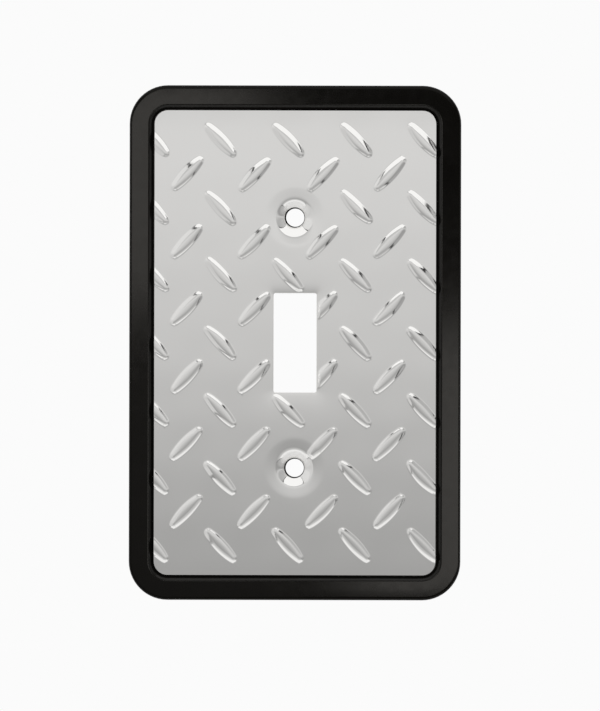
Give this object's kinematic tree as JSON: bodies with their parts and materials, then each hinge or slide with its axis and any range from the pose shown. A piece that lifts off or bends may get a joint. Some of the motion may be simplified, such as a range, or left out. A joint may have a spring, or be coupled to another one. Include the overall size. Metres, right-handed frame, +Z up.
{
  "type": "toggle wall plate",
  "caption": "Rounded rectangular cover plate for a toggle switch: moulded black surround round a recessed tread-pattern metal insert with a toggle opening and two countersunk screw holes.",
  "frame": {"origin": "in the wall plane, in the middle of the toggle opening and midway between the two screw holes", "axes": "+Z up along the plate's long side, +X to the right of someone facing the plate, +Y into the wall, so the front faces -Y"},
  "size_m": [0.08, 0.0072, 0.124],
  "materials": {
    "surround": "smooth black moulding with a soft sheen",
    "insert": "bright embossed sheet",
    "film": "thin double-sided bonding film"
  },
  "bodies": {
    "root": {"frame": "surround", "tread_insert": "insert", "adhesive_sheet": "film"}
  },
  "joints": []
}
